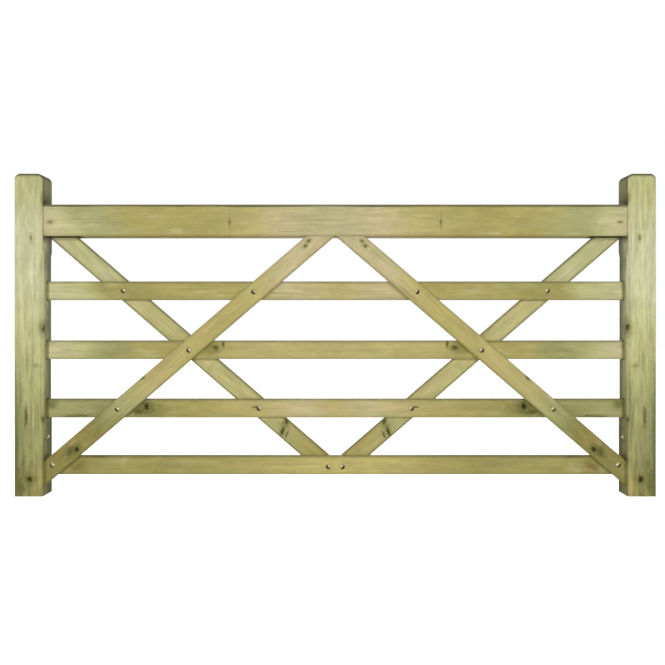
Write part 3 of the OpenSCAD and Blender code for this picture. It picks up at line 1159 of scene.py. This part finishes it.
@dataclass
class Rails:
    """The deep top rail and the four thin rails under it."""

    gate: GateSize
    wear: Wear
    looks: tuple[tuple[str, Look], ...] = (
        ("top_rail", Look(
            TimberFinish(ring_contrast=0.06, streak_contrast=0.30, top_edge_shade_and_dirt=1.6), "top_rail_timber",
            ((0.0, Tone.BISCUIT), (0.08, Tone.BISCUIT), (0.14, Tone.ROSE), (0.25, Tone.STRAW),
             (0.38, Tone.OLIVE), (0.65, Tone.OLIVE), (0.73, Tone.SAGE), (0.80, Tone.SAGE),
             (0.84, Tone.REED), (0.88, Tone.BUFF)),
            (Knot(1.069, 1.027, 0.007, 0.004, 0.6, 0.02), Knot(0.396, 1.027, 0.004, 0.008, 0.45, 0.02)),
            (Stain(0.396, 1.03, 0.004, 0.06, Tone.FERN, 0.35),),
        )),
        ("upper_rail", Look(
            RAIL_FINISH, "rail_timber",
            ((0.0, Tone.STRAW), (0.15, Tone.ROSE), (0.3, Tone.OLIVE), (0.50, Tone.OLIVE), (0.60, Tone.KHAKI),
             (0.72, Tone.KHAKI), (0.78, Tone.REED), (0.88, Tone.WILLOW)),
        )),
        ("middle_rail", Look(
            RAIL_FINISH, "rail_timber",
            ((0.0, Tone.STRAW), (0.3, Tone.STRAW), (0.42, Tone.OLIVE), (0.64, Tone.OLIVE),
             (0.71, Tone.MOSS), (0.77, Tone.SAGE), (0.82, Tone.REED), (0.88, Tone.BUFF)),
            (Knot(0.452, 0.555, 0.013, 0.009, 0.65), Knot(0.424, 0.571, 0.004, 0.012, 0.75)),
            (Stain(0.80, 0.55, 0.06, 0.03, Tone.MOSS, 0.6), Stain(0.475, 0.55, 0.045, 0.03, Tone.FERN, 0.6)),
        )),
        ("lower_rail", Look(
            RAIL_FINISH, "rail_timber",
            ((0.0, Tone.STRAW), (0.1, Tone.ROSE), (0.22, Tone.STRAW), (0.42, Tone.OLIVE),
             (0.55, Tone.KHAKI), (0.65, Tone.LICHEN), (0.78, Tone.MOSS), (0.97, Tone.SAGE)),
            (Knot(0.714, 0.333, 0.012, 0.013, 1.0), Knot(0.303, 0.331, 0.010, 0.0025, 0.8)),
            (Stain(0.72, 0.325, 0.09, 0.035, Tone.FERN, 0.75),
             Stain(0.98, 0.300, 0.06, 0.006, Tone.FERN, 0.8),
             Stain(0.716, 0.330, 0.030, 0.028, Tone.ALGAE, 1.0),
             Stain(0.745, 0.312, 0.022, 0.012, Tone.LOAM, 0.8),
             Stain(1.00, 0.295, 0.035, 0.003, Tone.BARK, 0.7),
             Stain(0.955, 0.297, 0.03, 0.003, Tone.BARK, 0.7),
             Stain(1.074, 0.342, 0.030, 0.022, Tone.ALGAE, 0.75)),
        )),
        ("bottom_rail", Look(
            RAIL_FINISH, "rail_timber",
            ((0.0, Tone.HUSK), (0.13, Tone.HUSK), (0.22, Tone.HONEY), (0.33, Tone.OLIVE),
             (0.43, Tone.KHAKI), (0.76, Tone.KHAKI), (0.88, Tone.LICHEN)),
            stains=(
                Stain(0.965, 0.11, 0.05, 0.04, Tone.BRONZE, 0.8),
                Stain(0.90, 0.143, 0.05, 0.005, Tone.BARK, 0.6),
                # Painted shadow of the front brace on the bottom rail.
                Stain(0.970, 0.108, 0.036, 0.012, Tone.UMBER, 0.8, -37.0),
                Stain(0.62, 0.115, 0.07, 0.020, Tone.LICHEN, 0.5),
            ),
        )),
    )

    def build(self) -> None:
        """Dresses the five rails."""
        for seed, (name, look) in enumerate(self.looks, 1):
            centre, size = self.gate.folded_centre(name)
            Timber(name, self.gate, look, tuple(centre), 0.0, size.z, size.y, float(seed)).build(self.wear)


@dataclass
class Braces:
    """Two braces on the front of the thin rails and two on their back."""

    gate: GateSize
    wear: Wear
    width: float = 70.0 * MM
    first_seed: float = 6.0
    front_look: Look = Look(
        BRACE_FINISH, "brace_timber",
        ((0.0, Tone.BISCUIT), (0.1, Tone.ROSE), (0.17, Tone.ROSE), (0.23, Tone.STRAW),
         (0.30, Tone.HONEY), (0.42, Tone.HONEY), (0.52, Tone.STRAW), (0.60, Tone.STRAW),
         (0.67, Tone.SAGE), (0.73, Tone.LICHEN), (0.78, Tone.BRONZE), (0.90, Tone.BRONZE)),
        (Knot(0.100, 0.956, 0.008, 0.005, 0.6), Knot(0.113, 0.937, 0.006, 0.005, 0.7),
         Knot(0.721, 0.443, 0.008, 0.004, 0.7), Knot(0.969, 0.174, 0.012, 0.010, 1.0)),
        (
            Stain(0.992, 0.168, 0.048, 0.026, Tone.ALGAE, 0.95),
            Stain(1.06, 0.10, 0.09, 0.05, Tone.FERN, 0.3),
            Stain(0.984, 0.200, 0.020, 0.010, Tone.TAN, 0.5),
            Stain(0.962, 0.212, 0.022, 0.012, Tone.BRONZE, 0.7),
            Stain(1.022, 0.168, 0.022, 0.024, Tone.BRONZE, 0.6),
            Stain(0.905, 0.235, 0.05, 0.020, Tone.FERN, 0.45),
            Stain(0.985, 0.171, 0.024, 0.011, Tone.LOAM, 0.75),
            # Painted shade where the brace's upper edge meets the stile.
            Stain(1.054, 0.150, 0.03, 0.008, Tone.FERN, 0.5),
        ),
    )
    back_look: Look = Look(
        TimberFinish(arris_shade=0.72, arris_band=7.0 * MM, upward_shade=0.30, top_edge_shade_and_dirt=0.24, lower_edge_shade=0.60),
        "brace_timber",
        ((0.0, Tone.OLIVE), (0.11, Tone.OLIVE), (0.19, Tone.SAGE), (0.27, Tone.CORN), (0.62, Tone.CORN),
         (0.74, Tone.WILLOW), (0.79, Tone.REED), (0.92, Tone.BUFF)),
        (Knot(0.186, 0.276, 0.015, 0.007, 1.0, turn=48.0), Knot(0.202, 0.236, 0.020, 0.0065, 0.85, turn=67.0),
         Knot(0.185, 0.223, 0.012, 0.003, 0.7, turn=70.0)),
        (Stain(0.476, 0.480, 0.012, 0.030, Tone.SAGE, 0.6),
         Stain(0.208, 0.262, 0.012, 0.020, Tone.MOSS, 0.6, 50.0),
         Stain(0.162, 0.240, 0.016, 0.010, Tone.TAN, 0.6, 45.0)),
    )

    def build(self) -> None:
        """Dresses the four braces, front and back by turns."""
        seed = self.first_seed
        for side in ("left", "right"):
            for row, look, find in (
                ("front", self.front_look, self._front), ("back", self.back_look, self._back)
            ):
                name = f"{row}_brace_{side}"
                centre, size = self.gate.folded_centre(name)
                middle, slant = find(side)
                place = (middle.x, centre.y, middle.y)
                Timber(name, self.gate, look, place, slant, self.width, size.y, seed).build(self.wear)
                seed += 1.0

    def _front(self, side: str) -> tuple[Vector, float]:
        """Finds how a front brace lies: its lower edge joins two corners of its box.

        Args:
            side: Which of the two it is.

        Returns:
            A point on its middle line, and its slope down from the gate's middle.
        """
        centre, size = self.gate.folded_centre(f"front_brace_{side}")
        slant = math.atan2(size.z, size.x)
        corner = Vector((centre.x - size.x / 2, centre.z + size.z / 2))
        return corner + Vector((math.sin(slant), math.cos(slant))) * self.width / 2, slant

    def _back(self, side: str) -> tuple[Vector, float]:
        """Finds how a back brace lies: its middle line runs through two of its bolts.

        Args:
            side: Which of the two it is.

        Returns:
            A point on its middle line, and its slope down from the gate's middle.
        """
        lower, _ = self.gate.folded_centre(f"lower_back_bolt_{side}")
        upper, _ = self.gate.folded_centre(f"upper_back_bolt_{side}")
        return Vector((lower.x, lower.z)), -math.atan2(upper.z - lower.z, upper.x - lower.x)


# ------------------------------------------------------------------------ ironwork


class Fixing(Enum):
    """What is threaded together on each through bolt."""

    BOLT = "_bolt_"
    WASHER = "washers"
    NUT = "nuts"


@dataclass
class Ironwork:
    """Cup-head bolts, with a washer and a nut behind each one that goes through."""

    gate: GateSize
    head_width: float = 20.0 * MM
    head_height: float = 4.5 * MM
    shank: float = 8.0 * MM
    shank_rows: int = 54
    pitch: float = 1.25 * MM
    thread_depth: float = 0.6 * MM
    thread_length: float = 18.0 * MM
    washer_width: float = 21.0 * MM
    washer_height: float = 1.6 * MM
    washer_bore: float = 9.0 * MM
    washer_edge: float = 0.35 * MM
    nut_width: float = 13.0 * MM
    nut_height: float = 6.5 * MM
    nut_bore: float = 8.1 * MM
    nut_face: float = 0.96
    tip: float = 6.0 * MM

    def build(self) -> None:
        """Makes the bolts, washers and nuts and stands them for their CAD nodes."""
        zinc = ZincFinish(self.gate.middle).material()
        bolts = [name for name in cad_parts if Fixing.BOLT.value in name]
        through = [name for name in bolts if not name.startswith("stile_")]
        past_nut = self.tip + self.nut_height
        for name, nodes, make, places, spin in (
            ("cup_bolts", bolts, self._cup_bolt, self._places(bolts), 0.0),
            ("bolt_washers", [Fixing.WASHER.value], self._washer,
             self._places(through, past_nut + self.washer_height), math.tau),
            ("bolt_nuts", [Fixing.NUT.value], self._nut, self._places(through, past_nut), math.tau),
        ):
            tree = Shape(name)
            copies = self._on_places(tree, make(tree), spin)
            tree.end(self._stretched(tree, copies) if nodes is bolts else copies)
            piece = tree.run(name, places, Finish=zinc)
            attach(piece, "root")
            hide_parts(*nodes)
            log.info("%s: %d faces for %d nodes", name, len(piece.data.polygons), len(nodes))

    def _places(self, names: list[str], past: float | None = None) -> bpy.types.Mesh:
        """Marks where the fixings go.

        Args:
            names: The bolts' CAD nodes.
            past: How much of the bolt lies past the fixing's seat, or nothing for one that
                seats where the bolt's head does.

        Returns:
            One point for each, with the shank's direction as aim and its length as reach.
        """
        spots, aims, reaches = [], [], []
        for name in names:
            low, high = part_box(name)
            middle, size = (low + high) / 2, high - low
            if name.startswith("stile_"):
                aim = Vector((-1.0 if middle.x < self.gate.middle else 1.0, 0.0, 0.0))
            else:
                aim = Vector((0.0, 1.0, 0.0))
            total = abs(size.dot(aim))
            seat = self.head_height if past is None else total - past
            spots.append(middle + aim * (seat - total / 2))
            aims.append(aim)
            reaches.append(total - self.head_height)
        mesh = bpy.data.meshes.new("places")
        mesh.from_pydata(spots, [], [])
        parts = [part for aim in aims for part in aim]
        mesh.attributes.new("aim", "FLOAT_VECTOR", "POINT").data.foreach_set("vector", parts)
        mesh.attributes.new("reach", "FLOAT", "POINT").data.foreach_set("value", reaches)
        return mesh

    @staticmethod
    def _on_places(tree: Shape, fixing: Signal, spin: float) -> Signal:
        """Stands a copy of a fixing at every place.

        Args:
            tree: The tree.
            fixing: The fixing, made along +Z from its seat.
            spin: The most that a copy is turned about its own axis.

        Returns:
            The copies, made real.
        """
        marked = tree.keep(fixing, "spot", tree.node("GeometryNodeInputPosition"), "FLOAT_VECTOR")
        seed = tree.size("Seed", 7, "Int")
        values = {2: 0.0, 3: spin, "Seed": seed}
        angle = tree.node("FunctionNodeRandomValue", {"data_type": "FLOAT"}, values, 1)
        values = {"Axis": (0.0, 0.0, 1.0), "Angle": angle}
        turned = tree.node("FunctionNodeAxisAngleToRotation", None, values)
        values = {0: tree.aim(tree.field("aim", "FLOAT_VECTOR")), 1: turned}
        both = tree.node("FunctionNodeRotateRotation", {"rotation_space": "LOCAL"}, values)
        copies = tree.copies(tree.given, marked, both)
        return tree.node("GeometryNodeRealizeInstances", None, {"Geometry": copies})

    def _stretched(self, tree: Shape, bolts: Signal) -> Signal:
        """Draws each bolt's threaded end out until the shank has its own length.

        Args:
            tree: The tree.
            bolts: The bolts, each as long as its thread.

        Returns:
            The bolts.
        """
        threaded = tree.size("Thread length", self.thread_length)
        pull = tree.field("stretch") * (tree.field("reach") - threaded)
        values = {0: tree.field("aim", "FLOAT_VECTOR"), "Scale": pull}
        offset = tree.node("ShaderNodeVectorMath", {"operation": "SCALE"}, values)
        return tree.move(bolts, Offset=offset)

    def _cup_bolt(self, tree: Shape) -> Signal:
        """Makes a bolt of a domed head and a shank that is all thread.

        Args:
            tree: The tree.

        Returns:
            The bolt, whose stretch attribute is 1 on all that moves with its end.
        """
        parts = [self._thread(tree), self._head(tree)]
        return tree.node("GeometryNodeJoinGeometry", None, {"Geometry": parts})

    def _head(self, tree: Shape) -> Signal:
        """Makes a domed head, from a ball whose lower half is flattened to the seat.

        Args:
            tree: The tree.

        Returns:
            The head, which lies below its seat.
        """
        width, height = tree.sizes(self, "head_width", "head_height")
        ball = tree.node("GeometryNodeMeshUVSphere", None, {"Segments": 40, "Rings": 24, "Radius": 1.0})
        x, y, z = tree.place()
        dome = (width * width * 0.25 + height * height) / (height * 2.0)
        share = tree.math("ARCCOSINE", z * -1.0) * (2 / math.pi)
        slope = tree.math("ARCSINE", width * 0.5 / dome) * share
        upper = tree.math("LESS_THAN", share, 1.0)
        ring = upper * (tree.math("SINE", slope) * dome) + (1.0 - upper) * ((2.0 - share) * width * 0.5)
        scale = ring / tree.math("MAXIMUM", tree.length(x, y), 1e-6)
        rise = upper * ((dome - height) - tree.math("COSINE", slope) * dome)
        return tree.move(ball, Position=tree.join(x * scale, y * scale, rise))

    def _thread(self, tree: Shape) -> Signal:
        """Makes a threaded shank, whose first row stays at the seat when it is stretched.

        Args:
            tree: The tree.

        Returns:
            The shank.
        """
        shank, pitch, depth, length = tree.sizes(self, "shank", "pitch", "thread_depth", "thread_length")
        rows = self.shank_rows
        rod = tree.rod(24, rows=rows, rings=2)
        x, y, z = tree.place()
        share = tree.math("MAXIMUM", z + 0.5 - 1 / rows, 0.0) * (rows / (rows - 1))
        on_thread = tree.math("GREATER_THAN", z + 0.5, 0.5 / rows)
        spot = share * length
        turn = tree.math("ARCTAN2", y, x) * (1 / math.tau)
        wave = tree.math("COSINE", (spot / pitch - turn) * math.tau) * 0.5 + 0.5
        fade = tree.ease(share, 0.0, 0.08) - tree.ease(share, 0.94, 1.0) * 0.3
        end = (1.0 - fade) * 0.5 * on_thread * tree.ease(share, 0.9, 1.0)
        girth = shank * 0.5 - depth * (wave * fade + end)
        body = tree.move(rod, Position=tree.join(x * girth, y * girth, spot))
        return tree.keep(body, "stretch", on_thread)

    def _washer(self, tree: Shape) -> Signal:
        """Makes a washer with rounded edges.

        Args:
            tree: The tree.

        Returns:
            The washer.
        """
        outer, inner, height = tree.sizes(self, "washer_width", "washer_bore", "washer_height")
        values = {"Resolution": 48, "Radius": (outer + inner) * 0.25}
        path = tree.node("GeometryNodeCurvePrimitiveCircle", None, values)
        values = {"Width": (outer - inner) * 0.5, "Height": height}
        section = tree.node("GeometryNodeCurvePrimitiveQuadrilateral", None, values)
        corners = {"Curve": section, "Count": 3, "Radius": self.washer_edge}
        rounded = tree.node("GeometryNodeFilletCurve", {"mode": "POLY"}, corners)
        ring = tree.node("GeometryNodeCurveToMesh", None, {"Curve": path, "Profile Curve": rounded})
        return tree.move(ring, Offset=tree.join(0.0, 0.0, height * 0.5))

    def _nut(self, tree: Shape) -> Signal:
        """Makes a hexagon nut, its corners turned off at both ends.

        Args:
            tree: The tree.

        Returns:
            The nut.
        """
        flats, bore, height = tree.sizes(self, "nut_width", "nut_bore", "nut_height")
        corner = flats * (0.5 / math.cos(math.pi / 6))
        prism = tree.rod(6, corner, height)
        blank = tree.rod(48, rows=3)
        x, y, z = tree.place()
        face = tree.math("GREATER_THAN", abs(z), 0.4)
        turned_off = corner * 1.01 - flats * (0.5 * self.nut_face)
        girth = corner * 1.01 - face * turned_off
        level = tree.math("SIGN", z) * (height * 0.5 - (1.0 - face) * turned_off * math.tan(math.pi / 6))
        turned = tree.move(blank, Position=tree.join(x * girth, y * girth, level))
        hole = tree.rod(32, bore * 0.5, height * 2.0)
        nut = tree.cut("DIFFERENCE", tree.cut("INTERSECT", None, [prism, turned]), [hole])
        return tree.move(nut, Offset=tree.join(0.0, 0.0, height * 0.5))


# -------------------------------------------------------------------------- studio


@dataclass(frozen=True)
class Studio:
    """Pale floor, white surroundings, soft lamps and the camera.

    A lamp has its place from the gate's middle, its power in watts and the side of its
    square face. One that hangs out to a side has its twin on the other.
    """

    gate: GateSize
    eye_distance: float = 2.26
    eye_height: float = 0.6639
    lens: float = 32.73
    film: float = 36.0
    shift: tuple[float, float] = (-0.0042, -0.0203)
    lamps: tuple[tuple[str, Triple, float, float], ...] = (
        ("lamp", (1.90, -5.00, 1.00), 116.0, 2.6),
        ("back_lamp", (0.0, 12.0, 0.60), 1100.0, 3.0),
        ("top_lamp", (0.0, 0.0, 4.5), 50.0, 1.5),
        ("side_lamp", (2.4, 0.0, 0.0), 12.0, 1.0),
    )
    ambient: float = 0.06
    floor_reach: float = 14.0
    floor_colour: Triple = (0.70, 0.70, 0.69)
    floor_glow: float = 0.945

    def build(self) -> None:
        """Makes the floor, the world, the lamps and the camera."""
        self._floor()
        self._world()
        for name, (out, depth, height), power, size in self.lamps:
            for side, sign in (("left_", -1.0), ("right_", 1.0)) if out else (("", 1.0),):
                self._lamp(side + name, Vector((sign * out, depth, height)), power, size)
        self._camera()
        bpy.context.scene.view_settings.view_transform = "Standard"
        log.info("studio: floor, lamps and camera")

    def _floor(self) -> None:
        """Lays a pale floor that shows white and keeps the gate's shadow."""
        reach = self.floor_reach
        mesh = bpy.data.meshes.new("floor")
        corners = ((-reach, -reach), (reach, -reach), (reach, reach), (-reach, reach))
        spots = [(x + self.gate.middle, y, -self.gate.foot) for x, y in corners]
        mesh.from_pydata(spots, [], [(0, 1, 2, 3)])
        floor = bpy.data.objects.new("floor", mesh)
        bpy.context.scene.collection.objects.link(floor)
        graph = Shader(bpy.data.materials.new("pale_floor"))
        matt = graph.node("ShaderNodeBsdfDiffuse", None, {"Color": (*self.floor_colour, 1.0)})
        strength = graph.seen() * self.floor_glow
        glow = graph.node("ShaderNodeEmission", None, {"Color": WHITE, "Strength": strength})
        mesh.materials.append(graph.finish(graph.node("ShaderNodeAddShader", None, {0: matt, 1: glow})))

    def _world(self) -> None:
        """Makes the surroundings white to look at, and dimmer as a light."""
        world = bpy.context.scene.world = bpy.data.worlds.new("surroundings")
        graph = Shader(world)
        strength = graph.seen() * (1.0 - self.ambient) + self.ambient
        graph.finish(graph.node("ShaderNodeBackground", None, {"Color": WHITE, "Strength": strength}))

    def _lamp(self, name: str, place: Vector, power: float, size: float) -> None:
        """Hangs one soft lamp that faces the gate.

        Args:
            name: The lamp's name.
            place: Its place from the gate's middle.
            power: Power in watts.
            size: Side of its square face.
        """
        light = bpy.data.lights.new(name, "AREA")
        light.shape = "SQUARE"
        light.size = size
        light.energy = power
        lamp = bpy.data.objects.new(name, light)
        aim = Vector((self.gate.middle, 0.0, 0.0))
        lamp.location = aim + place
        lamp.rotation_euler = (aim - lamp.location).to_track_quat("-Z", "Y").to_euler()
        lamp.visible_camera = False
        bpy.context.scene.collection.objects.link(lamp)

    def _camera(self) -> None:
        """Stands the camera square to the gate's front."""
        data = bpy.data.cameras.new("eye")
        data.lens = self.lens
        data.sensor_width = self.film
        data.shift_x, data.shift_y = self.shift
        eye = bpy.data.objects.new("eye", data)
        low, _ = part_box("hanging_stile")
        eye.location = (self.gate.middle, low.y - self.eye_distance, self.eye_height - self.gate.foot)
        eye.rotation_euler = (QUARTER_TURN, 0.0, 0.0)
        bpy.context.scene.collection.objects.link(eye)
        bpy.context.scene.camera = eye


def main() -> None:
    """Builds the gate and its studio."""
    logging.basicConfig(level=logging.INFO, format="%(name)s: %(message)s")
    gate = GateSize.of_frame()
    wear = Wear()
    Stiles(gate, wear).build()
    Rails(gate, wear).build()
    Braces(gate, wear).build()
    Ironwork(gate).build()
    Studio(gate).build()


if __name__ == "__main__":
    main()
